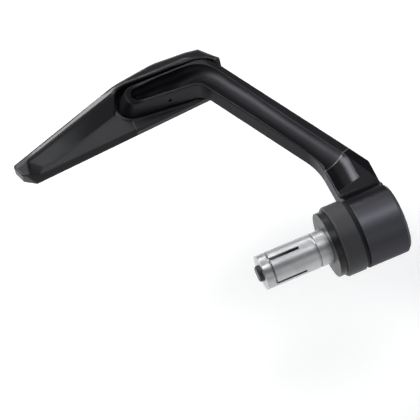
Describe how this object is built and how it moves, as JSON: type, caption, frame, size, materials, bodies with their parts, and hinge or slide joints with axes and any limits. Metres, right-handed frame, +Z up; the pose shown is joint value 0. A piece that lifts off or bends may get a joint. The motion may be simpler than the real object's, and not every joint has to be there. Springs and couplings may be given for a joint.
{
  "type": "handlebar lever guard",
  "caption": "Handlebar-end lever guard: an expanding bar plug and round end mount carry a scooped, cranked arm with a faceted blade that shields the brake lever.",
  "frame": {"origin": "on the handlebar's axis, in the plane of the bar's end face, where the plug starts", "axes": "+X outboard along the bar, +Y forward, +Z up"},
  "size_m": [0.1562, 0.1532, 0.035],
  "materials": {
    "blade_plastic": "fine moulded grain",
    "arm_aluminium": "satin black anodised",
    "mount_aluminium": "satin black anodised",
    "collar_aluminium": "matte black anodised",
    "washer_plastic": "matte black",
    "seal_rubber": "matte black",
    "black_steel": "black oxide",
    "bright_steel": "zinc plated",
    "plain_aluminium": "plain turned"
  },
  "bodies": {
    "root": {"guard_blade": "blade_plastic", "guard_arm": "arm_aluminium", "bar_end_mount": "mount_aluminium", "bar_end_collar": "collar_aluminium", "shoulder_washer": "washer_plastic", "seal_ring": "seal_rubber", "clamp_bolt": "black_steel", "clamp_washer": "bright_steel", "outer_cone": "plain_aluminium", "expander_sleeve": "plain_aluminium", "cone_nut": "bright_steel", "joint_screw": "black_steel", "blade_screws": "black_steel", "blade_washers": "bright_steel"}
  },
  "joints": []
}
